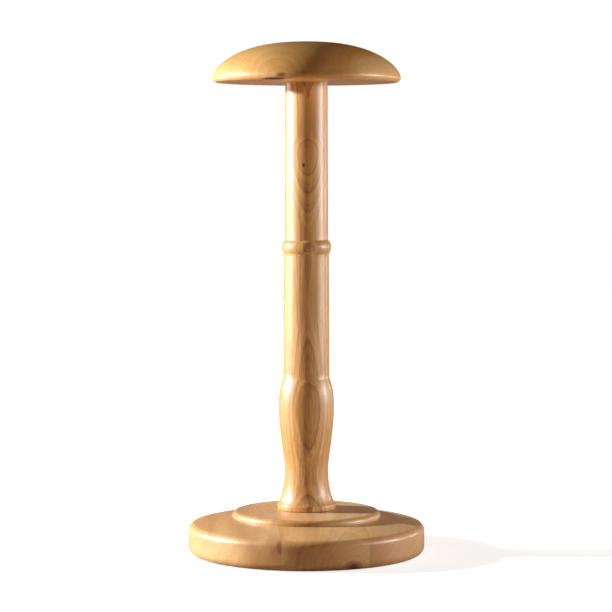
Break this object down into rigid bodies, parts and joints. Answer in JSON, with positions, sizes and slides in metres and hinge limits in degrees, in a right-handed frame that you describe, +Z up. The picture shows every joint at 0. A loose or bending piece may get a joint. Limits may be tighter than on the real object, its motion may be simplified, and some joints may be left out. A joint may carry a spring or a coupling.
{
  "type": "hat stand",
  "caption": "Turned wooden table stand for one hat: a low domed head on a slender column with a bead and a swelling, on a heavy stepped round base.",
  "frame": {"origin": "centre of the face that the stand rests on", "axes": "+Z up along the turned axis, -Y towards the front, +X to the right seen from the front; the grain of the base and the head runs along Y"},
  "size_m": [0.18, 0.18, 0.3882],
  "materials": {
    "wood_base": "gloss clear lacquer over light brown hardwood",
    "wood_column": "gloss clear lacquer over light brown hardwood",
    "wood_head": "gloss clear lacquer over light brown hardwood",
    "steel": "bright drawn wood screw",
    "felt": "pressed wool felt"
  },
  "bodies": {
    "root": {"base_stave_left": "wood_base", "base_stave_centre": "wood_base", "base_stave_right": "wood_base", "column": "wood_column", "head": "wood_head", "base_screw": "steel", "base_felt": "felt"}
  },
  "joints": []
}
